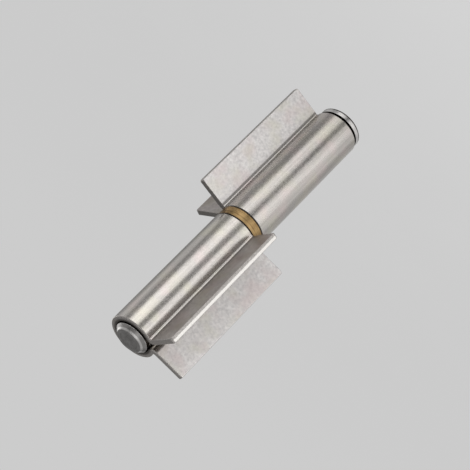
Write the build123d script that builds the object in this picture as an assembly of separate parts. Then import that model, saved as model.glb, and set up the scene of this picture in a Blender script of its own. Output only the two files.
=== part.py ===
from build123d import *
import os
from math import cos, radians, sin, sqrt

# Weld-on lift-off gate hinge, upright on its pin. Millimetres, pin axis on Z.
# Two rolled leaves turn on a headed pin, with a brass thrust washer between them.

# Rolled leaf: the barrel
barrel_diameter = 20.0
sheet_thickness = 2.5
leaf_height = 62.5

# Rolled leaf: the two wings that the sheet's ends turn out into
wing_spread = 69.0  # angle between the two wings, degrees
wing_reach = 23.7  # from the pin axis to the sheared edge, along the wing
wing_offset = 2.2  # from the pin axis to the plane of the wing's outer face
bend_radius = 0.8  # hollow of the bend from barrel to wing
wing_corner_radius = 0.8
edge_break = 0.25

# Upper leaf's mouth, turned from the lower leaf's about the pin, degrees
leaf_turn = 195.0

# Headed pin
head_lip = 2.0  # rim of the head beyond the bore, on the radius
head_height = 2.75
head_chamfer = 0.6  # round the end face
head_edge_break = 0.15  # round the shoulder
head_gap = 1.25  # from the head to the lower barrel
tip_stand = 2.2  # tip above the upper barrel
tip_chamfer = 1.7
press_interference = 0.01  # on the radius, in the lower barrel
run_clearance = 0.3  # on the radius, in the upper barrel

# Thrust washer
washer_wall = 2.65  # on the radius
washer_height = 5.0
washer_chamfer = 0.4
washer_clearance = 0.08  # on the radius, round the pin

# Edges that differ by less than this angle count as parallel, degrees
parallel_angle = 0.5

# Radii and levels that follow from the sizes above
barrel_radius = barrel_diameter / 2
bore_radius = barrel_radius - sheet_thickness
press_radius = bore_radius + press_interference
run_radius = bore_radius - run_clearance
head_radius = bore_radius + head_lip
washer_bore_radius = run_radius + washer_clearance
washer_radius = washer_bore_radius + washer_wall
lower_leaf_level = head_height + head_gap
washer_level = lower_leaf_level + leaf_height
upper_leaf_level = washer_level + washer_height
tip_level = upper_leaf_level + leaf_height + tip_stand


def wing_direction(side):
    """Unit vector along a wing, from the axis to its edge. Side is 1 or -1, and the mouth opens along X."""
    angle = radians(wing_spread / 2)
    return Vector(cos(angle), side * sin(angle))


def mouthward(side):
    """Unit normal of a wing's flat, towards the other wing."""
    angle = radians(wing_spread / 2)
    return Vector(sin(angle), -side * cos(angle))


def wing_curves(side):
    """One wing's outer and inner curves with the bends that run into the barrel, and its sheared edge.

    Returns the curves, then the points where the outer and the inner bend meet barrel and bore.
    """
    along = wing_direction(side)
    inward = mouthward(side)
    centre_radius = barrel_radius + bend_radius
    centre_offset = wing_offset - bend_radius
    flat_start = sqrt(centre_radius**2 - centre_offset**2)
    centre = along * flat_start + inward * centre_offset
    to_axis = centre.normalized() * -1
    half_way = (to_axis + inward).normalized()

    outer_tip = along * wing_reach + inward * wing_offset
    inner_tip = outer_tip + inward * sheet_thickness
    sheared_edge = Line(outer_tip, inner_tip)

    curves = [sheared_edge]
    ends = []
    for radius, tip in ((bend_radius, outer_tip), (bend_radius + sheet_thickness, inner_tip)):
        flat_end = centre + inward * radius
        barrel_end = centre + to_axis * radius
        curves.append(Line(tip, flat_end))
        curves.append(ThreePointArc(flat_end, centre + half_way * radius, barrel_end))
        ends.append(barrel_end)
    return curves, ends[0], ends[1]


def leaf_section():
    """Section of the rolled sheet: a barrel open at the mouth, and a wing at each end of the sheet."""
    left, left_outer, left_inner = wing_curves(1)
    right, right_outer, right_inner = wing_curves(-1)
    barrel = ThreePointArc(left_outer, Vector(-barrel_radius, 0), right_outer)
    bore = ThreePointArc(left_inner, Vector(-bore_radius, 0), right_inner)
    return make_face(Curve() + [*left, barrel, *right, bore])


def runs_along(edge, direction):
    """Whether an edge is straight and parallel to a direction."""
    turn = edge.tangent_at(0.5).get_angle(direction)
    return edge.geom_type == GeomType.LINE and min(turn, 180 - turn) < parallel_angle


def across_sheet(edge):
    """Whether an edge crosses the sheet's thickness at the end of a wing."""
    return runs_along(edge, mouthward(1)) or runs_along(edge, mouthward(-1))


def bend_line(edge):
    """Whether an edge only marks where a bend, the barrel or a flat begins."""
    off_axis = Vector(edge.center().X, edge.center().Y).length
    return runs_along(edge, Vector(0, 0, 1)) and off_axis < wing_reach


def rolled_leaf():
    """One leaf with its lower end on Z = 0: rolled section, rounded wing corners, broken edges all round."""
    leaf = extrude(leaf_section(), leaf_height)
    leaf = fillet(leaf.edges().filter_by(across_sheet), wing_corner_radius)
    cut_outline = leaf.edges().filter_by(lambda edge: not across_sheet(edge) and not bend_line(edge))
    return chamfer(cut_outline, edge_break)


def headed_pin():
    """Turned pin: head at the bottom, pressed length, running length and chamfered tip."""
    profile = Polyline(
        (0, 0),
        (head_radius - head_chamfer, 0),
        (head_radius, head_chamfer),
        (head_radius, head_height - head_edge_break),
        (head_radius - head_edge_break, head_height),
        (press_radius, head_height),
        (press_radius, washer_level),
        (run_radius, washer_level),
        (run_radius, tip_level - tip_chamfer),
        (run_radius - tip_chamfer, tip_level),
        (0, tip_level),
        close=True,
    )
    return revolve(make_face(Plane.XZ * profile), Axis.Z)


def thrust_washer():
    """Turned brass ring with broken edges, its lower face on Z = 0."""
    ring = Circle(washer_radius) - Circle(washer_bore_radius)
    washer = extrude(ring, washer_height)
    return chamfer(washer.edges().filter_by(GeomType.CIRCLE), washer_chamfer)


nodes = {
    "lower_leaf": Pos(0, 0, lower_leaf_level) * rolled_leaf(),
    "upper_leaf": Pos(0, 0, upper_leaf_level) * Rot(0, 0, leaf_turn) * rolled_leaf(),
    "hinge_pin": headed_pin(),
    "thrust_washer": Pos(0, 0, washer_level) * thrust_washer(),
}

os.makedirs("parts", exist_ok=True)
for name, shape in nodes.items():
    export_step(shape, f"parts/{name}.step")
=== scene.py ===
"""Looks of a weld-on lift-off gate hinge: two rolled leaves, a turned pin and a brass thrust washer."""

import logging
from collections.abc import Callable, Iterator
from contextlib import contextmanager
from dataclasses import dataclass
from enum import Enum
from math import asin, cos, degrees, pi, radians, sin, sqrt, tan
from typing import Any

import bmesh
import bpy
from bpy.types import Material, Node, NodeSocket, NodeTree, Object
from mathutils import Matrix, Vector


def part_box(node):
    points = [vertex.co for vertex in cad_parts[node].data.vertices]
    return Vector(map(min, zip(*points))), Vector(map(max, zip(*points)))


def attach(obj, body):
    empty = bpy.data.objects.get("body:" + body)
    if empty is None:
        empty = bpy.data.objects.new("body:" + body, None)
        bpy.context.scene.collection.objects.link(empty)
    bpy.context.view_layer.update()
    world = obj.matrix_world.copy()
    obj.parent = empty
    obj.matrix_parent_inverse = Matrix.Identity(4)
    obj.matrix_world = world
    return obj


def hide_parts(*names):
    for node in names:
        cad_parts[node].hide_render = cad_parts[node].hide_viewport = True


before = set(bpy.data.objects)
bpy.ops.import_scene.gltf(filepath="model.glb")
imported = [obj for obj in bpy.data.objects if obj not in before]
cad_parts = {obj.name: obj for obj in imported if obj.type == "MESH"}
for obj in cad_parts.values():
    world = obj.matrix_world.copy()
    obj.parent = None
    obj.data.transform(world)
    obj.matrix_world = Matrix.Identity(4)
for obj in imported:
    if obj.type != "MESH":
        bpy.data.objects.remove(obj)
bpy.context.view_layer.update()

LOG = logging.getLogger("gate_hinge")
MM = 0.001
NEAR = 0.01 * MM  # two places closer than this count as one
MERGED = 0.001 * MM  # and two corners closer than this are merged
UPWARD = Vector((0, 0, 1))

# Most values of a noise texture lie between these two
NOISE_LOW = 0.35
NOISE_HIGH = 0.65

# Node settings that come up often
COLOUR_MIX = {"data_type": "RGBA"}
SOFT_STEP = {"interpolation_type": "SMOOTHSTEP"}

# Attributes of a leaf's mesh that its finishes read
SHEET_DEPTH = "sheet_depth"  # 0 on the sheet's outer skin, 1 on its inner skin
OIL_FILM = "oil_film"  # 1 on the one wing that is drawn darker, 0 elsewhere
CUT_END = "cut_end"  # 1 on the two cut ends, 0 elsewhere


class Element(Enum):
    """Which mesh elements a selection is made of."""

    VERT = "verts"
    EDGE = "edges"
    FACE = "faces"


class Half(Enum):
    """The two halves of the hinge, each with one leaf."""

    LOWER = ("lower_leaf", "lower_half", "rolled_leaf_lower")
    UPPER = ("upper_leaf", "upper_half", "rolled_leaf_upper")

    def __init__(self, node: str, body: str, piece: str) -> None:
        """Names what belongs to this half.

        Args:
            node: CAD node of its leaf.
            body: CAD body that the leaf rides on.
            piece: Name of the leaf in this scene.
        """
        self.node = node
        self.body = body
        self.piece = piece


class PanelKind(Enum):
    """A studio panel that the metal mirrors: one that gives light, or a card that holds light off."""

    LAMP = "lamp"
    CARD = "card"


def linear(hex_colour: str) -> tuple[float, float, float, float]:
    """Turns an sRGB hex colour to linear.

    Args:
        hex_colour: Colour such as "#c6c2bd".

    Returns:
        Linear red, green, blue and an alpha of 1.
    """
    parts = (int(hex_colour[i : i + 2], 16) / 255 for i in (1, 3, 5))
    red, green, blue = (c / 12.92 if c <= 0.04045 else ((c + 0.055) / 1.055) ** 2.4 for c in parts)
    return red, green, blue, 1.0


def grey(level: float) -> tuple[float, float, float, float]:
    """Linear grey of a brightness, where 1 is white."""
    return level, level, level, 1.0


def add_node(tree: NodeTree, kind: str, settings: dict[str, Any] | None = None, **inputs: Any) -> Node:
    """Adds a node with its settings and links.

    Args:
        tree: Node tree to add to.
        kind: Blender's name of the node type.
        settings: Properties of the node.
        **inputs: Input sockets by identifier or name, with _ for a space. A socket is linked, a node is
            linked by the first of its outputs that is in use, and anything else is set.

    Returns:
        The new node.
    """
    node = tree.nodes.new(kind)
    for name, value in (settings or {}).items():
        setattr(node, name, value)
    sockets = {socket.identifier: socket for socket in node.inputs}
    for name, value in inputs.items():
        socket = sockets.get(name) or node.inputs[name.replace("_", " ")]
        if isinstance(value, Node):
            value = next(output for output in value.outputs if output.enabled)
        if isinstance(value, NodeSocket):
            tree.links.new(value, socket)
        else:
            socket.default_value = value
    return node


def new_material(name: str) -> tuple[Material, NodeTree]:
    """Makes an empty node material.

    Args:
        name: Name of the finish.

    Returns:
        The material and its cleared node tree.
    """
    material = bpy.data.materials.new(name)
    material.use_nodes = True
    material.node_tree.nodes.clear()
    return material, material.node_tree


def take(piece: Object) -> None:
    """Selects a piece and nothing else, and makes it the active one.

    Args:
        piece: Object to work on next.
    """
    bpy.ops.object.select_all(action="DESELECT")
    piece.select_set(True)
    bpy.context.view_layer.objects.active = piece


@contextmanager
def editing(piece: Object) -> Iterator[None]:
    """Holds a piece in edit mode, with nothing else selected.

    Args:
        piece: Mesh to edit.

    Returns:
        A context that goes back to object mode at its end.
    """
    take(piece)
    bpy.ops.object.mode_set(mode="EDIT")
    bpy.ops.mesh.select_mode(type="VERT")
    try:
        yield
    finally:
        bpy.ops.object.mode_set(mode="OBJECT")


def pick(piece: Object, element: Element, wanted: Callable[[Any], bool]) -> None:
    """Selects the elements of a piece in edit mode that pass a test, and no others.

    Args:
        piece: Mesh in edit mode.
        element: Kind of element.
        wanted: Test of one bmesh element.
    """
    bpy.context.tool_settings.mesh_select_mode = tuple(element is kind for kind in Element)
    bpy.ops.mesh.select_all(action="DESELECT")
    mesh = bmesh.from_edit_mesh(piece.data)
    for item in getattr(mesh, element.value):
        if wanted(item):
            item.select_set(True)
    mesh.select_flush_mode()
    bmesh.update_edit_mesh(piece.data)


def extrude(offset: Vector) -> None:
    """Extrudes what is selected by an offset."""
    bpy.ops.mesh.extrude_region_move(TRANSFORM_OT_translate={"value": tuple(offset)})


def spin(centre: Vector, turn: float, steps: int) -> None:
    """Spins what is selected round an upright axis.

    Args:
        centre: Point on the axis.
        turn: Turn in degrees, counter-clockwise seen from above. With no window, Blender counts it
            clockwise.
        steps: Number of steps.
    """
    bpy.ops.mesh.spin(steps=steps, angle=-radians(turn), center=tuple(centre), axis=tuple(UPWARD))


def widen(factor: float, level: float) -> None:
    """Scales what is selected about the pin axis, at a level."""
    bpy.ops.transform.resize(value=(factor, factor, 1), center_override=(0, 0, level))


def apply_modifier(piece: Object, kind: str, **settings: Any) -> None:
    """Adds a modifier to a piece and applies it.

    Args:
        piece: Mesh to change.
        kind: Blender's name of the modifier type.
        **settings: Properties of the modifier.
    """
    take(piece)
    modifier = piece.modifiers.new(kind.lower(), kind)
    for name, value in settings.items():
        setattr(modifier, name, value)
    bpy.ops.object.modifier_apply(modifier=modifier.name)


def soften(piece: Object, width: float, steps: int, angle: float) -> None:
    """Bevels the sharp edges of a piece.

    Args:
        piece: Mesh to change.
        width: Width of the bevel.
        steps: Faces across it.
        angle: Edges sharper than this are bevelled, degrees.
    """
    apply_modifier(
        piece, "BEVEL", width=width, segments=steps, limit_method="ANGLE", angle_limit=radians(angle)
    )


def close_up(piece: Object) -> None:
    """Merges doubles and turns all faces outwards.

    Args:
        piece: Mesh to change.
    """
    with editing(piece):
        bpy.ops.mesh.select_all(action="SELECT")
        bpy.ops.mesh.remove_doubles(threshold=MERGED)
        bpy.ops.mesh.normals_make_consistent(inside=False)


def smooth(piece: Object, angle: float) -> None:
    """Shades a piece smooth, and keeps its flats flat.

    Args:
        piece: Mesh to shade.
        angle: Edges sharper than this stay sharp, degrees.
    """
    take(piece)
    bpy.ops.object.shade_smooth_by_angle(angle=radians(angle))
    apply_modifier(piece, "WEIGHTED_NORMAL", keep_sharp=True, weight=100)


def settle(piece: Object) -> None:
    """Puts a piece's place, turn and scale into its mesh, so that its object sits at the origin."""
    take(piece)
    bpy.ops.object.transform_apply(location=True, rotation=True, scale=True)


@dataclass(frozen=True)
class SoiledBand:
    """A stretch, by level or by distance from the pin axis, that painted shade covers."""

    low: float
    high: float
    strength: float = 1.0
    fade: float = 0.15 * MM  # how far it runs out beyond its ends

    def cover(self, tree: NodeTree, where: Node | NodeSocket, under: Node, over: str) -> Node:
        """Covers the colour of a finish along the band.

        Args:
            tree: Node tree of the finish.
            where: Level or distance of the point.
            under: Colour of the finish.
            over: Hex colour of the painted shade.

        Returns:
            The covered colour.
        """
        middle = (self.low + self.high) / 2
        half = self.high - middle
        away = add_node(tree, "ShaderNodeMath", {"operation": "SUBTRACT"}, Value=where, Value_001=middle)
        apart = add_node(tree, "ShaderNodeMath", {"operation": "ABSOLUTE"}, Value=away)
        amount = add_node(
            tree,
            "ShaderNodeMapRange",
            SOFT_STEP,
            Value=apart,
            From_Min=half,
            From_Max=half + self.fade,
            To_Min=self.strength,
            To_Max=0.0,
        )
        return add_node(
            tree, "ShaderNodeMix", COLOUR_MIX, Factor_Float=amount, A_Color=under, B_Color=linear(over)
        )


def axis_distance(tree: NodeTree, place: NodeSocket) -> Node:
    """Adds the nodes that give a point's distance from the pin axis.

    Args:
        tree: Node tree of the finish.
        place: The point.

    Returns:
        The distance.
    """
    flat = add_node(
        tree, "ShaderNodeVectorMath", {"operation": "MULTIPLY"}, Vector=place, Vector_001=(1, 1, 0)
    )
    return add_node(tree, "ShaderNodeVectorMath", {"operation": "LENGTH"}, Vector=flat)


def surface_metal(
    tree: NodeTree, colour: Node, roughness: Node, pattern: Node, relief: tuple[float, float]
) -> None:
    """Ends a metal's node tree with its bump, shader and output.

    Args:
        tree: Node tree of the finish.
        colour: Colour of the metal.
        roughness: Roughness of the metal.
        pattern: Pattern that stands up from the surface.
        relief: Strength and height of that pattern.
    """
    strength, height = relief
    bump = add_node(tree, "ShaderNodeBump", Strength=strength, Distance=height, Height=pattern)
    shader = add_node(
        tree,
        "ShaderNodeBsdfPrincipled",
        Base_Color=colour,
        Metallic=1.0,
        Roughness=roughness,
        Normal=bump,
    )
    add_node(tree, "ShaderNodeOutputMaterial", Surface=shader)


@dataclass(frozen=True)
class RolledSteel:
    """Cold-rolled steel sheet, roll-formed and drawn, lightly oiled.

    The eye sees a bright, slightly warm grey metal: the barrel burnished by the rolls, with soft long
    lines along it, and the wings duller, mottled by the pickled skin. Faint rosy and straw stains lie
    over both. One wing of each leaf is drawn darker, and painted shade lies in the crease at the foot of
    each wing.
    """

    name: str = "cold_rolled_steel_roll_formed"
    barrel_light: str = "#b7b3af"
    barrel_dark: str = "#a6a29e"
    wing_light: str = "#d8d5d3"
    wing_dark: str = "#b5b2b1"
    tone_range: tuple[float, float] = (0.32, 0.68)  # pattern values that show darkest and lightest
    rosy: str = "#c4b3b1"
    straw: str = "#bcb9a6"
    tint_range: tuple[float, float] = (0.48, 0.7)  # stain values where a tint begins and is full
    tint_strength: float = 0.4
    # colour that the first wing of each leaf is multiplied by, drawing it darker
    oil: str = "#a8a19d"
    oil_strength: tuple[float, float] = (0.6, 0.8)  # weakest and strongest darkening of that wing
    # painted shade in the crease at the foot of each wing, in this colour, over the band below
    dirt: str = "#5b5754"
    crease: SoiledBand = SoiledBand(10.95 * MM, 11.45 * MM, strength=0.7, fade=0.5 * MM)  # from the axis
    barrel_end: float = 10.1 * MM  # from the pin axis, where the barrel's finish ends
    wing_start: float = 11.5 * MM  # and where the wing's begins
    line_width: float = 0.9 * MM  # real draw lines are near 0.1 mm, drawn wider so that they show
    line_length: float = 35 * MM
    mottle_size: float = 1.2 * MM
    stain_size: float = 9 * MM
    barrel_roughness: float = 0.28
    wing_roughness: float = 0.48
    roughness_swing: float = 0.04
    relief: tuple[float, float] = (0.2, 0.04 * MM)

    def stained(self, tree: NodeTree, on_wing: Node, pattern: Node, stains: Node) -> Node:
        """Colours the bare sheet, barrel and wings in their own greys, with its stains.

        Args:
            tree: Node tree of the finish.
            on_wing: 0 on the barrel, 1 on the wings.
            pattern: Lines of the barrel and mottle of the wings.
            stains: Node whose red and green are the rosy and the straw stains.

        Returns:
            The colour.
        """
        darkest, lightest = self.tone_range
        tone = add_node(tree, "ShaderNodeMapRange", Value=pattern, From_Min=darkest, From_Max=lightest)
        barrel, wing = (
            add_node(
                tree,
                "ShaderNodeMix",
                COLOUR_MIX,
                Factor_Float=tone,
                A_Color=linear(dark),
                B_Color=linear(light),
            )
            for dark, light in ((self.barrel_dark, self.barrel_light), (self.wing_dark, self.wing_light))
        )
        colour = add_node(
            tree, "ShaderNodeMix", COLOUR_MIX, Factor_Float=on_wing, A_Color=barrel, B_Color=wing
        )
        faint, full = self.tint_range
        for tint, channel in ((self.rosy, "Red"), (self.straw, "Green")):
            amount = add_node(
                tree,
                "ShaderNodeMapRange",
                Value=stains.outputs[channel],
                From_Min=faint,
                From_Max=full,
                To_Max=self.tint_strength,
            )
            colour = add_node(
                tree,
                "ShaderNodeMix",
                COLOUR_MIX,
                Factor_Float=amount,
                A_Color=colour,
                B_Color=linear(tint),
            )
        return colour

    def soiled(self, tree: NodeTree, skin: Node, thickness: NodeSocket, off_axis: Node) -> Node:
        """Draws one wing of the skin darker, and paints shade into the creases.

        Args:
            tree: Node tree of the finish.
            skin: Colour of the bare sheet.
            thickness: Noise that the darkening of that wing follows.
            off_axis: Distance from the pin axis.

        Returns:
            The colour.
        """
        # the first wing of each leaf is drawn darker
        oily = add_node(tree, "ShaderNodeAttribute", {"attribute_name": OIL_FILM}).outputs["Fac"]
        thin, thick = self.oil_strength
        strength = add_node(
            tree,
            "ShaderNodeMapRange",
            Value=thickness,
            From_Min=NOISE_LOW,
            From_Max=NOISE_HIGH,
            To_Min=thin,
            To_Max=thick,
        )
        film = add_node(
            tree, "ShaderNodeMath", {"operation": "MULTIPLY"}, Value=oily, Value_001=strength
        )
        oiled = add_node(
            tree,
            "ShaderNodeMix",
            COLOUR_MIX | {"blend_type": "MULTIPLY"},
            Factor_Float=film,
            A_Color=skin,
            B_Color=linear(self.oil),
        )
        # paints shade into the crease at the foot of each wing
        return self.crease.cover(tree, off_axis, oiled, self.dirt)

    def build(self) -> Material:
        """Makes the material.

        Returns:
            The material.
        """
        material, tree = new_material(self.name)
        place = add_node(tree, "ShaderNodeTexCoord").outputs["Object"]
        off_axis = axis_distance(tree, place)
        on_wing = add_node(
            tree,
            "ShaderNodeMapRange",
            SOFT_STEP,
            Value=off_axis,
            From_Min=self.barrel_end,
            From_Max=self.wing_start,
        )

        # Lines along the barrel, mottle on the wings, stains over both
        stretched = add_node(
            tree, "ShaderNodeMapping", Vector=place, Scale=(1, 1, self.line_width / self.line_length)
        )
        lines = add_node(
            tree, "ShaderNodeTexNoise", Vector=stretched, Scale=1 / self.line_width, Roughness=0.55
        )
        mottle = add_node(
            tree,
            "ShaderNodeTexNoise",
            Vector=place,
            Scale=1 / self.mottle_size,
            Detail=4.0,
            Roughness=0.6,
        )
        pattern = add_node(tree, "ShaderNodeMix", Factor_Float=on_wing, A_Float=lines, B_Float=mottle)
        clouds = add_node(tree, "ShaderNodeTexNoise", Vector=place, Scale=1 / self.stain_size)
        stains = add_node(tree, "ShaderNodeSeparateColor", Color=clouds.outputs["Color"])
        skin = self.stained(tree, on_wing, pattern, stains)
        colour = self.soiled(tree, skin, stains.outputs["Blue"], off_axis)

        dull = add_node(
            tree,
            "ShaderNodeMapRange",
            Value=on_wing,
            To_Min=self.barrel_roughness,
            To_Max=self.wing_roughness,
        )
        swing = add_node(
            tree,
            "ShaderNodeMapRange",
            Value=mottle,
            From_Min=NOISE_LOW,
            From_Max=NOISE_HIGH,
            To_Min=-self.roughness_swing,
            To_Max=self.roughness_swing,
        )
        roughness = add_node(tree, "ShaderNodeMath", {"operation": "ADD"}, Value=dull, Value_001=swing)
        surface_metal(tree, colour, roughness, pattern, self.relief)
        return material


@dataclass(frozen=True)
class ShearedSteel:
    """Edge of the sheet where the blade cut it and a file broke the burr.

    The eye sees a bright burnished strip on the side where the blade went in, and a dull torn one on the
    other. A leaf's two ends are dull all over, with near black painted shade round the pin and beside
    the washer.
    """

    name: str = "cold_rolled_steel_sheared_edge"
    burnished: str = "#c6c3bf"
    torn_light: str = "#b0aca8"
    torn_dark: str = "#8c8885"
    torn_share: float = 0.43  # share of the thickness that tore, from the outer skin
    border_width: float = 0.1  # of the border between the strips, as a share of the thickness
    border_swing: float = 0.16  # how far that border wanders
    tear_size: float = 0.5 * MM  # real tears are near 0.1 mm, drawn wider so that they show
    burnished_roughness: float = 0.26
    torn_roughness: float = 0.5
    relief: tuple[float, float] = (0.3, 0.05 * MM)
    # near black painted shade on the cut ends, round the pin and beside the washer
    oil: str = "#2e2925"
    oil_ring: SoiledBand = SoiledBand(0.0, 8.0 * MM, strength=0.8, fade=1.2 * MM)  # from the axis
    grease: tuple[SoiledBand, ...] = (  # by level
        SoiledBand(66.35 * MM, 66.65 * MM, strength=0.5),
        SoiledBand(71.35 * MM, 71.65 * MM, strength=0.5),
    )

    def build(self) -> Material:
        """Makes the material.

        Returns:
            The material.
        """
        material, tree = new_material(self.name)
        place = add_node(tree, "ShaderNodeTexCoord").outputs["Object"]
        level = add_node(tree, "ShaderNodeSeparateXYZ", Vector=place).outputs["Z"]
        depth = add_node(tree, "ShaderNodeAttribute", {"attribute_name": SHEET_DEPTH}).outputs["Fac"]
        ends = add_node(tree, "ShaderNodeAttribute", {"attribute_name": CUT_END}).outputs["Fac"]
        tears = add_node(
            tree,
            "ShaderNodeTexNoise",
            Vector=place,
            Scale=1 / self.tear_size,
            Detail=3.0,
            Roughness=0.6,
        )

        # 0 on the torn strip and the ends, 1 on the burnished strip
        ragged = add_node(
            tree,
            "ShaderNodeMath",
            {"operation": "MULTIPLY_ADD"},
            Value=tears,
            Value_001=self.border_swing,
            Value_002=depth,
        )
        strip = add_node(
            tree,
            "ShaderNodeMapRange",
            SOFT_STEP,
            Value=ragged,
            From_Min=self.torn_share + (self.border_swing - self.border_width) / 2,
            From_Max=self.torn_share + (self.border_swing + self.border_width) / 2,
        )
        shine = add_node(
            tree,
            "ShaderNodeMath",
            {"operation": "SUBTRACT", "use_clamp": True},
            Value=strip,
            Value_001=ends,
        )

        tone = add_node(tree, "ShaderNodeMapRange", Value=tears, From_Min=NOISE_LOW, From_Max=NOISE_HIGH)
        torn = add_node(
            tree,
            "ShaderNodeMix",
            COLOUR_MIX,
            Factor_Float=tone,
            A_Color=linear(self.torn_dark),
            B_Color=linear(self.torn_light),
        )
        bare = add_node(
            tree,
            "ShaderNodeMix",
            COLOUR_MIX,
            Factor_Float=shine,
            A_Color=torn,
            B_Color=linear(self.burnished),
        )
        # painted shade on the ends: round the pin, and in the gaps beside the washer
        colour = self.oil_ring.cover(tree, axis_distance(tree, place), bare, self.oil)
        for band in self.grease:
            colour = band.cover(tree, level, colour, self.oil)
        roughness = add_node(
            tree,
            "ShaderNodeMapRange",
            Value=shine,
            To_Min=self.torn_roughness,
            To_Max=self.burnished_roughness,
        )
        surface_metal(tree, colour, roughness, tears, self.relief)
        return material


@dataclass(frozen=True)
class TurnedMetal:
    """A metal turned on a lathe, with the fine rings that the tool leaves round the axis.

    The eye sees a soft sheen that fans out across the end faces and runs round the sides, and near black
    painted shade in bands where the joints meet.
    """

    name: str
    light: str
    dark: str
    roughness: float
    # bands of near black painted shade where the parts meet, by level
    oiled: tuple[SoiledBand, ...]  # by level
    oil: str = "#2e2925"
    ring_pitch: float = 0.6 * MM  # real feed marks are near 0.1 mm, drawn wider so that they show
    ring_share: float = 0.5  # how much the rings show in the colour, against the stains
    stain_size: float = 4 * MM
    tone_range: tuple[float, float] = (0.55, 0.95)  # pattern values that show darkest and lightest
    roughness_swing: float = 0.06
    relief: tuple[float, float] = (0.25, 0.04 * MM)

    def build(self) -> Material:
        """Makes the material.

        Returns:
            The material.
        """
        material, tree = new_material(self.name)
        place = add_node(tree, "ShaderNodeTexCoord").outputs["Object"]
        level = add_node(tree, "ShaderNodeSeparateXYZ", Vector=place).outputs["Z"]
        off_axis = axis_distance(tree, place)
        feed = add_node(tree, "ShaderNodeMath", {"operation": "ADD"}, Value=off_axis, Value_001=level)
        rings = add_node(
            tree, "ShaderNodeTexNoise", {"noise_dimensions": "1D"}, W=feed, Scale=1 / self.ring_pitch
        )
        stains = add_node(
            tree,
            "ShaderNodeTexNoise",
            Vector=place,
            Scale=1 / self.stain_size,
            Detail=3.0,
            Roughness=0.6,
        )
        pattern = add_node(
            tree,
            "ShaderNodeMath",
            {"operation": "MULTIPLY_ADD"},
            Value=rings,
            Value_001=self.ring_share,
            Value_002=stains,
        )

        darkest, lightest = self.tone_range
        tone = add_node(tree, "ShaderNodeMapRange", Value=pattern, From_Min=darkest, From_Max=lightest)
        colour = add_node(
            tree,
            "ShaderNodeMix",
            COLOUR_MIX,
            Factor_Float=tone,
            A_Color=linear(self.dark),
            B_Color=linear(self.light),
        )
        # paints shade in those bands
        for band in self.oiled:
            colour = band.cover(tree, level, colour, self.oil)
        roughness = add_node(
            tree,
            "ShaderNodeMapRange",
            Value=stains,
            From_Min=NOISE_LOW,
            From_Max=NOISE_HIGH,
            To_Min=self.roughness - self.roughness_swing,
            To_Max=self.roughness + self.roughness_swing,
        )
        surface_metal(tree, colour, roughness, rings, self.relief)
        return material


@dataclass(frozen=True)
class PaintedBoard:
    """Board with matt pale grey paint, for the floor.

    The eye sees an even ground with a faint cloudiness, which further out runs into the background
    without a line.
    """

    background: str
    name: str = "matt_paint_rolled_on_board"
    light: str = "#cdcdcd"
    dark: str = "#cbcbcb"
    cloud_size: float = 60 * MM
    fade_start: float = 0.4  # from the middle of the floor
    fade_end: float = 1.0

    def build(self) -> Material:
        """Makes the material.

        Returns:
            The material.
        """
        material, tree = new_material(self.name)
        place = add_node(tree, "ShaderNodeTexCoord").outputs["Object"]
        clouds = add_node(tree, "ShaderNodeTexNoise", Vector=place, Scale=1 / self.cloud_size)
        paint = add_node(
            tree,
            "ShaderNodeMix",
            COLOUR_MIX,
            Factor_Float=clouds,
            A_Color=linear(self.dark),
            B_Color=linear(self.light),
        )
        near = add_node(tree, "ShaderNodeBsdfDiffuse", Color=paint)
        far = add_node(tree, "ShaderNodeEmission", Color=linear(self.background), Strength=1.0)
        away = add_node(tree, "ShaderNodeVectorMath", {"operation": "LENGTH"}, Vector=place)
        fade = add_node(
            tree,
            "ShaderNodeMapRange",
            SOFT_STEP,
            Value=away,
            From_Min=self.fade_start,
            From_Max=self.fade_end,
        )
        ground = add_node(tree, "ShaderNodeMixShader", Fac=fade, Shader=near, Shader_001=far)
        add_node(tree, "ShaderNodeOutputMaterial", Surface=ground)
        return material


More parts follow.
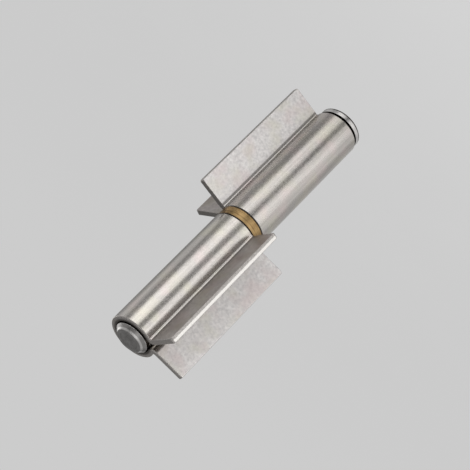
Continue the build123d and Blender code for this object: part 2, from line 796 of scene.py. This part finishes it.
@dataclass
class RolledLeaf:
    """One leaf: a sheet rolled into an open barrel, its two ends turned out into wings."""

    barrel_radius: float = 10 * MM
    sheet: float = 2.5 * MM
    height: float = 62.5 * MM
    wing_spread: float = 69.0  # angle between the wings, degrees
    wing_reach: float = 23.7 * MM
    wing_offset: float = 2.2 * MM
    bend_radius: float = 0.8 * MM
    corner_radius: float = 0.8 * MM
    edge_break: float = 0.25 * MM
    edge_softening: float = 0.07 * MM
    upper_turn: float = 195.0  # turn of the upper leaf from the lower one, degrees
    barrel_steps: int = 120
    bend_steps: int = 14
    corner_steps: int = 8
    rows: int = 10  # steps up the height
    cut_angle: float = 60.0  # edges sharper than this were cut and then broken, degrees
    soft_angle: float = 30.0  # edges sharper than this are softened
    smooth_angle: float = 35.0  # edges sharper than this stay sharp in the shading
    end_facing: float = 0.6  # least upward or downward part of a normal on a cut end
    side_facing: float = 0.75  # least sideways part of a normal on a wing's skin
    skin: RolledSteel = RolledSteel()
    cut: ShearedSteel = ShearedSteel()

    def along(self, side: int) -> Vector:
        """Unit vector along a wing, from the axis out. Side is 1 or -1, and the mouth opens along X."""
        angle = radians(self.wing_spread / 2)
        return Vector((cos(angle), side * sin(angle), 0))

    def inward(self, side: int) -> Vector:
        """Unit normal of a wing's flat, towards the other wing."""
        angle = radians(self.wing_spread / 2)
        return Vector((sin(angle), -side * cos(angle), 0))

    @property
    def flat_start(self) -> float:
        """Where a wing's flat begins, from the axis."""
        reach = self.barrel_radius + self.bend_radius
        return sqrt(reach**2 - (self.wing_offset - self.bend_radius) ** 2)

    @property
    def centre_lean(self) -> float:
        """Angle of a bend's centre beyond the wing's direction, in degrees."""
        reach = self.barrel_radius + self.bend_radius
        return degrees(asin((self.bend_radius - self.wing_offset) / reach))

    def bend_centre(self, side: int) -> Vector:
        """Centre of the bend from barrel to wing."""
        offset = self.wing_offset - self.bend_radius
        return self.along(side) * self.flat_start + self.inward(side) * offset

    def side_of(self, point: Vector) -> int:
        """Side of the leaf that a point is on, as build() stands the leaf."""
        return 1 if point.y >= 0 else -1

    def reach_of(self, point: Vector) -> float:
        """How far out along a wing a point is."""
        return max(point.dot(self.along(side)) for side in (1, -1))

    def sheet_depth(self, point: Vector) -> float:
        """How deep in the sheet a point is.

        Args:
            point: A point of the leaf as build() stands it.

        Returns:
            0 on the outer skin, 1 on the inner.
        """
        side = self.side_of(point)
        if point.dot(self.along(side)) >= self.flat_start:
            return (point.dot(self.inward(side)) - self.wing_offset) / self.sheet
        centre = self.bend_centre(side)
        from_centre = point.xy - centre.xy
        if side * centre.xy.cross(from_centre) < 0:
            return (from_centre.length - self.bend_radius) / self.sheet
        return (self.barrel_radius - point.xy.length) / self.sheet

    def oil_film(self, point: Vector) -> float:
        """How much a point of the leaf is drawn darker: 1 on the first wing, else 0."""
        return float(point.y > 0 and point.dot(self.along(1)) > self.flat_start - NEAR)

    def is_end(self, normal: Vector) -> bool:
        """Whether a face with this normal belongs to a cut end of the leaf."""
        return abs(normal.z) > self.end_facing

    def is_cut(self, face: bmesh.types.BMFace) -> bool:
        """Whether a face was cut: an end of the leaf or the sheared edge of a wing, with their corners.

        Args:
            face: A face of the leaf as build() stands it.

        Returns:
            True on a cut face.
        """
        middle = face.calc_center_median()
        side = self.side_of(middle)
        at_edge = middle.dot(self.along(side)) > self.wing_reach - self.corner_radius - NEAR
        on_skin = abs(face.normal.dot(self.inward(side))) > self.side_facing
        return self.is_end(face.normal) or (at_edge and not on_skin)

    def at_corner(self, edge: bmesh.types.BMEdge) -> bool:
        """Whether an edge crosses the sheet at a corner of a wing.

        Args:
            edge: An edge of the leaf as build() stands it.

        Returns:
            True at a corner.
        """
        one, other = (vert.co for vert in edge.verts)
        at_end = abs(one.z - other.z) < NEAR and min(one.z, self.height - one.z) < NEAR
        return at_end and min(self.reach_of(one), self.reach_of(other)) > self.wing_reach - NEAR

    def first_wing(self) -> Object:
        """Adds the section of the first wing's flat, lying on Z = 0.

        Returns:
            The new mesh, one face.
        """
        length = self.wing_reach - self.flat_start
        middle = self.along(1) * (self.flat_start + length / 2)
        middle += self.inward(1) * (self.wing_offset + self.sheet / 2)
        bpy.ops.object.select_all(action="DESELECT")
        bpy.ops.mesh.primitive_plane_add(
            size=1, location=middle, rotation=(0, 0, radians(self.wing_spread / 2))
        )
        piece = bpy.context.object
        piece.scale = (length, self.sheet, 1)
        settle(piece)
        return piece

    def roll(self, piece: Object) -> None:
        """Draws the section on from the first wing: bend, barrel, bend and second wing.

        Args:
            piece: The first wing's section, in edit mode.
        """
        turn = 90 - self.centre_lean
        wrap = 360 - self.wing_spread - 2 * self.centre_lean
        pick(piece, Element.VERT, lambda vert: vert.co.dot(self.along(1)) < self.flat_start + NEAR)
        spin(self.bend_centre(1), -turn, self.bend_steps)
        spin(Vector((0, 0, 0)), wrap, self.barrel_steps)
        spin(self.bend_centre(-1), -turn, self.bend_steps)
        extrude(self.along(-1) * (self.wing_reach - self.flat_start))

    def raise_section(self) -> None:
        """Extrudes the whole section up to the height of the leaf."""
        bpy.ops.mesh.select_all(action="SELECT")
        for _ in range(self.rows):
            extrude(UPWARD * (self.height / self.rows))

    def round_corners(self, piece: Object) -> None:
        """Rounds the four corners of the wings, on the leaf in edit mode."""
        pick(piece, Element.EDGE, self.at_corner)
        bpy.ops.mesh.bevel(offset=self.corner_radius, segments=self.corner_steps, affect="EDGES")

    def build(self) -> Object:
        """Models one leaf with its mouth along X and its lower end on Z = 0.

        Returns:
            The leaf, with its two finishes.
        """
        piece = self.first_wing()
        with editing(piece):
            self.roll(piece)
            self.raise_section()
        close_up(piece)
        with editing(piece):
            self.round_corners(piece)
        soften(piece, self.edge_break, steps=1, angle=self.cut_angle)
        soften(piece, self.edge_softening, steps=2, angle=self.soft_angle)
        self.dress(piece)
        smooth(piece, self.smooth_angle)
        return piece

    def dress(self, piece: Object) -> None:
        """Gives the leaf its attributes, its rolled skin, and the sheared finish on its cut faces.

        Args:
            piece: The shaped leaf.
        """
        mesh = piece.data
        for name, value_at in ((SHEET_DEPTH, self.sheet_depth), (OIL_FILM, self.oil_film)):
            values = mesh.attributes.new(name, "FLOAT", "POINT")
            values.data.foreach_set("value", [value_at(vert.co) for vert in mesh.vertices])
        ends = mesh.attributes.new(CUT_END, "FLOAT", "FACE")
        ends.data.foreach_set("value", [float(self.is_end(face.normal)) for face in mesh.polygons])
        for finish in (self.skin, self.cut):
            mesh.materials.append(finish.build())
        with editing(piece):
            pick(piece, Element.FACE, self.is_cut)
            piece.active_material_index = len(mesh.materials) - 1
            bpy.ops.object.material_slot_assign()

    def stand(self, piece: Object, half: Half) -> None:
        """Turns and lifts a leaf to its place, and hands it to its body.

        Args:
            piece: Leaf as build() gives it.
            half: Half of the hinge that it belongs to.
        """
        lowest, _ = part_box(half.node)
        piece.location = (0, 0, lowest.z)
        piece.rotation_euler = (0, 0, radians(self.upper_turn) if half is Half.UPPER else 0)
        settle(piece)
        piece.name = half.piece
        piece.data.name = half.piece
        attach(piece, half.body)
        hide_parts(half.node)


def build_leaves(leaf: RolledLeaf) -> list[Object]:
    """Models one leaf, copies it, and stands both in place.

    Args:
        leaf: Sizes of the leaf.

    Returns:
        The lower and the upper leaf.
    """
    lower = leaf.build()
    take(lower)
    bpy.ops.object.duplicate()
    upper = bpy.context.object
    leaf.stand(lower, Half.LOWER)
    leaf.stand(upper, Half.UPPER)
    return [lower, upper]


@dataclass
class HeadedPin:
    """Turned pin: head below, pressed length, running length and chamfered tip."""

    bore_radius: float = 7.5 * MM
    head_lip: float = 2.0 * MM
    head_height: float = 2.75 * MM
    head_chamfer: float = 0.6 * MM
    head_edge_break: float = 0.15 * MM
    tip_chamfer: float = 1.7 * MM
    press_interference: float = 0.01 * MM
    run_clearance: float = 0.3 * MM
    edge_radius: float = 0.08 * MM
    edge_steps: int = 2
    edge_angle: float = 30.0  # sharper edges are softened, and stay sharp in the shading, degrees
    sides: int = 144
    name: str = "turned_pin"
    finish: TurnedMetal = TurnedMetal(
        name="bright_steel_bar_turned",
        light="#cfcdcb",
        dark="#aeacaa",
        roughness=0.32,
        oiled=(
            # painted shade at the head's lower rim, and on the shank in the gap between head and barrel
            SoiledBand(0.15 * MM, 0.95 * MM),
            SoiledBand(2.7 * MM, 4.2 * MM),
            # painted shade where the tip leaves the barrel, and in bands on the tip
            SoiledBand(133.0 * MM, 134.3 * MM),
            SoiledBand(134.6 * MM, 135.45 * MM, strength=0.5),
            SoiledBand(136.17 * MM, 136.4 * MM, strength=0.42),
        ),
    )

    def stations(self) -> list[tuple[float, float]]:
        """Lists the corners of the pin's outline.

        Returns:
            Radius and level of each corner, from the head up.
        """
        _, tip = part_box("hinge_pin")
        step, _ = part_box("thrust_washer")
        head = self.bore_radius + self.head_lip
        press = self.bore_radius + self.press_interference
        run = self.bore_radius - self.run_clearance
        return [
            (head - self.head_chamfer, 0.0),
            (head, self.head_chamfer),
            (head, self.head_height - self.head_edge_break),
            (head - self.head_edge_break, self.head_height),
            (press, self.head_height),
            (press, step.z),
            (run, step.z),
            (run, tip.z - self.tip_chamfer),
            (run - self.tip_chamfer, tip.z),
        ]

    def build(self) -> Object:
        """Models the pin from a disc, extruded and widened from corner to corner.

        Returns:
            The pin on its body.
        """
        corners = self.stations()
        radius, level = corners[0]
        bpy.ops.object.select_all(action="DESELECT")
        bpy.ops.mesh.primitive_circle_add(vertices=self.sides, radius=radius, fill_type="NGON")
        piece = bpy.context.object
        with editing(piece):
            bpy.ops.mesh.select_all(action="SELECT")
            for next_radius, next_level in corners[1:]:
                extrude(UPWARD * (next_level - level))
                widen(next_radius / radius, next_level)
                radius, level = next_radius, next_level
        close_up(piece)
        soften(piece, self.edge_radius, self.edge_steps, self.edge_angle)
        piece.data.materials.append(self.finish.build())
        smooth(piece, self.edge_angle)
        piece.name = self.name
        piece.data.name = self.name
        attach(piece, "lower_half")
        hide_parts("hinge_pin")
        return piece


@dataclass
class ThrustWasher:
    """Turned brass ring between the two barrels."""

    bore_radius: float = 7.28 * MM
    wall: float = 2.65 * MM
    edge: float = 0.4 * MM
    edge_steps: int = 3
    edge_angle: float = 40.0  # edges sharper than this are broken, degrees
    smooth_angle: float = 35.0  # edges sharper than this stay sharp in the shading
    sides: int = 144
    name: str = "brass_washer"
    finish: TurnedMetal = TurnedMetal(
        name="free_cutting_brass_turned",
        light="#a98e63",
        dark="#70593b",
        roughness=0.38,
        # painted shade along both edges, where the washer meets the barrels
        oiled=(SoiledBand(66.62 * MM, 66.95 * MM), SoiledBand(71.05 * MM, 71.38 * MM)),
    )

    def build(self) -> Object:
        """Models the ring from a circle, widened to a flat ring and extruded up.

        Returns:
            The washer on its body.
        """
        lowest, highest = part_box("thrust_washer")
        bpy.ops.object.select_all(action="DESELECT")
        bpy.ops.mesh.primitive_circle_add(
            vertices=self.sides, radius=self.bore_radius, fill_type="NOTHING", location=(0, 0, lowest.z)
        )
        piece = bpy.context.object
        settle(piece)
        with editing(piece):
            bpy.ops.mesh.select_all(action="SELECT")
            extrude(Vector((0, 0, 0)))
            widen(1 + self.wall / self.bore_radius, lowest.z)
            bpy.ops.mesh.select_all(action="SELECT")
            extrude(UPWARD * (highest.z - lowest.z))
        close_up(piece)
        soften(piece, self.edge, self.edge_steps, self.edge_angle)
        piece.data.materials.append(self.finish.build())
        smooth(piece, self.smooth_angle)
        piece.name = self.name
        piece.data.name = self.name
        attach(piece, "washer")
        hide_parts("thrust_washer")
        return piece


@dataclass
class PhotoCamera:
    """Camera at the photograph's viewing angle, looking down along the hinge as it lies aslant."""

    name: str = "photo_camera"
    polar: float = -110.1  # direction to the camera round the pin, degrees from X
    elevation: float = 30.72  # degrees above the level
    distance: float = 684.9 * MM
    lens: float = 135.4
    sensor: float = 36.0
    aim_level: float = 71.78 * MM
    aim_aside: float = 0.44 * MM
    lean: float = 45.3  # slope of the pin in the picture, degrees

    def heading(self, turn: float) -> Vector:
        """Level unit vector at a turn in degrees, from the camera towards the picture's right."""
        angle = radians(self.polar - turn)
        return Vector((cos(angle), sin(angle), 0))

    def build(self) -> None:
        """Adds the camera and makes it the scene's."""
        level = self.heading(0)
        aside = self.heading(90)
        rise = radians(self.elevation)
        lean = radians(self.lean)
        back = level * cos(rise) + UPWARD * sin(rise)
        down_pin = level * sin(rise) - UPWARD * cos(rise)
        right = down_pin * cos(lean) + aside * sin(lean)
        up = down_pin * sin(lean) - aside * cos(lean)
        place = UPWARD * self.aim_level + aside * self.aim_aside + back * self.distance

        data = bpy.data.cameras.new(self.name)
        data.lens = self.lens
        data.sensor_width = self.sensor
        camera = bpy.data.objects.new(self.name, data)
        camera.matrix_world = Matrix.Translation(place) @ Matrix((right, up, back)).transposed().to_4x4()
        bpy.context.scene.collection.objects.link(camera)
        bpy.context.scene.camera = camera


@dataclass(frozen=True)
class StudioPanel:
    """An upright panel round the hinge, placed by the turn from the camera's direction."""

    name: str
    kind: PanelKind
    left: float  # turn of its left side, degrees
    right: float
    bottom: float
    top: float
    distance: float
    level: float  # its brightness, where 1 is white

    def add_lamp(self, width: float, height: float) -> Object:
        """Adds a lamp of even brightness.

        Args:
            width: Width of its face.
            height: Height of its face.

        Returns:
            The lamp at the origin, facing down.
        """
        data = bpy.data.lights.new(self.name, "AREA")
        data.shape = "RECTANGLE"
        data.size = width
        data.size_y = height
        data.energy = self.level * pi * width * height
        lamp = bpy.data.objects.new(self.name, data)
        bpy.context.scene.collection.objects.link(lamp)
        return lamp

    def add_card(self, width: float, height: float) -> Object:
        """Adds a card that only mirrors show.

        Args:
            width: Width of the card.
            height: Height of the card.

        Returns:
            The card, flat at the origin.
        """
        bpy.ops.object.select_all(action="DESELECT")
        bpy.ops.mesh.primitive_plane_add(size=1)
        card = bpy.context.object
        card.scale = (width, height, 1)
        settle(card)
        card.name = self.name
        material, tree = new_material(self.name)
        glow = add_node(tree, "ShaderNodeEmission", Color=grey(self.level), Strength=1.0)
        add_node(tree, "ShaderNodeOutputMaterial", Surface=glow)
        card.data.materials.append(material)
        card.visible_camera = False
        card.visible_diffuse = False
        card.visible_shadow = False
        return card

    def build(self, camera: PhotoCamera) -> None:
        """Adds the panel, facing the pin.

        Args:
            camera: Camera that the turn is counted from.
        """
        outward = camera.heading((self.left + self.right) / 2)
        width = 2 * self.distance * tan(radians(self.right - self.left) / 2)
        height = self.top - self.bottom
        place = outward * self.distance + UPWARD * (self.bottom + height / 2)
        turned = Matrix((UPWARD.cross(outward), UPWARD, outward)).transposed().to_4x4()
        add = self.add_lamp if self.kind is PanelKind.LAMP else self.add_card
        add(width, height).matrix_world = Matrix.Translation(place) @ turned


@dataclass
class Studio:
    """Pale floor, pale surroundings and soft light, with panels that give the metal its stripes."""

    floor_level: float = -0.30
    floor_radius: float = 8.0
    floor_sides: int = 128
    ground: str = "#cccccc"
    world_level: float = 0.85
    overhead_name: str = "lamp_overhead"
    overhead_level: float = 0.15  # brightness that it gives to a white floor
    overhead_height: float = 1.8
    overhead_size: float = 1.6
    panels: tuple[StudioPanel, ...] = (
        # Left and right side, bottom, top, distance and brightness of each
        StudioPanel("lamp_left_low", PanelKind.LAMP, -55, -14, -0.185, -0.08, 0.25, 1.05),
        StudioPanel("lamp_left_high", PanelKind.LAMP, -63, -22, -0.08, 0.20, 0.25, 1.45),
        StudioPanel("lamp_right_low", PanelKind.LAMP, 12, 50, -0.185, -0.08, 0.25, 0.92),
        StudioPanel("lamp_right_high", PanelKind.LAMP, 4, 45, -0.08, 0.20, 0.25, 1.31),
        StudioPanel("lamp_far_right", PanelKind.LAMP, 48, 92, -0.25, 0.20, 0.27, 0.44),
        StudioPanel("lamp_far_left_low", PanelKind.LAMP, -118, -92, -0.25, -0.093, 0.27, 0.08),
        StudioPanel("lamp_far_left_high", PanelKind.LAMP, -118, -92, -0.093, 0.20, 0.27, 0.32),
        StudioPanel("card_front_low", PanelKind.CARD, -9, 9, -0.25, -0.078, 0.24, 0.25),
        StudioPanel("card_front_high", PanelKind.CARD, -17, 1, -0.078, 0.12, 0.24, 0.25),
        StudioPanel("card_left_low", PanelKind.CARD, -90, -60, -0.25, -0.078, 0.24, 0.32),
        StudioPanel("card_left_high", PanelKind.CARD, -90, -68, -0.078, 0.12, 0.24, 0.34),
        StudioPanel("lamp_back_left", PanelKind.LAMP, -156, -126, 0.09, 0.26, 0.28, 1.3),
        StudioPanel("card_back_left", PanelKind.CARD, -178, -136, -0.25, 0.06, 0.30, 0.30),
        StudioPanel("card_behind", PanelKind.CARD, 130, 230, 0.15, 0.70, 0.40, 0.27),
        StudioPanel("card_above_camera", PanelKind.CARD, -80, 4, 0.24, 1.00, 0.45, 0.12),
    )

    def build_floor(self) -> None:
        """Adds the floor, well below the hinge, which hangs by its mount."""
        bpy.ops.object.select_all(action="DESELECT")
        bpy.ops.mesh.primitive_circle_add(
            vertices=self.floor_sides,
            radius=self.floor_radius,
            fill_type="NGON",
            location=(0, 0, self.floor_level),
        )
        floor = bpy.context.object
        settle(floor)
        floor.name = "floor"
        floor.data.materials.append(PaintedBoard(self.ground).build())

    def build_world(self) -> None:
        """Sets the even light from all round, which the camera and the metal see as the pale ground."""
        world = bpy.data.worlds.new("studio")
        world.use_nodes = True
        tree = world.node_tree
        tree.nodes.clear()
        rays = add_node(tree, "ShaderNodeLightPath").outputs
        seen = rays["Is Camera Ray"]
        for kind in ("Is Glossy Ray", "Is Transmission Ray"):
            seen = add_node(
                tree, "ShaderNodeMath", {"operation": "MAXIMUM"}, Value=seen, Value_001=rays[kind]
            )
        colour = add_node(
            tree,
            "ShaderNodeMix",
            COLOUR_MIX,
            Factor_Float=seen,
            A_Color=grey(self.world_level),
            B_Color=linear(self.ground),
        )
        back = add_node(tree, "ShaderNodeBackground", Color=colour, Strength=1.0)
        add_node(tree, "ShaderNodeOutputWorld", Surface=back)
        bpy.context.scene.world = world

    def build_overhead(self) -> None:
        """Adds the large soft lamp above the hinge."""
        data = bpy.data.lights.new(self.overhead_name, "AREA")
        data.shape = "SQUARE"
        data.size = self.overhead_size
        data.energy = self.overhead_level * (pi * (self.overhead_height - self.floor_level)) ** 2
        lamp = bpy.data.objects.new(self.overhead_name, data)
        lamp.location = (0, 0, self.overhead_height)
        bpy.context.scene.collection.objects.link(lamp)

    def build(self, camera: PhotoCamera) -> None:
        """Adds everything that stands round the hinge.

        Args:
            camera: Camera that the panels are placed by.
        """
        self.build_floor()
        self.build_world()
        self.build_overhead()
        for panel in self.panels:
            panel.build(camera)
        bpy.context.scene.view_settings.view_transform = "Standard"


def report(piece: Object) -> None:
    """Logs a piece's name and size.

    Args:
        piece: A finished piece.
    """
    places = zip(*(vert.co for vert in piece.data.vertices))
    size = " x ".join(f"{(max(values) - min(values)) / MM:.1f}" for values in places)
    LOG.info("%s: %s mm, %d faces", piece.name, size, len(piece.data.polygons))


def main() -> None:
    """Builds the camera, the studio and the four pieces of the hinge, and notes the size of it all."""
    logging.basicConfig(level=logging.INFO, format="%(name)s: %(message)s")
    camera = PhotoCamera()
    camera.build()
    Studio().build(camera)
    for piece in (*build_leaves(RolledLeaf()), HeadedPin().build(), ThrustWasher().build()):
        report(piece)


if __name__ == "__main__":
    main()
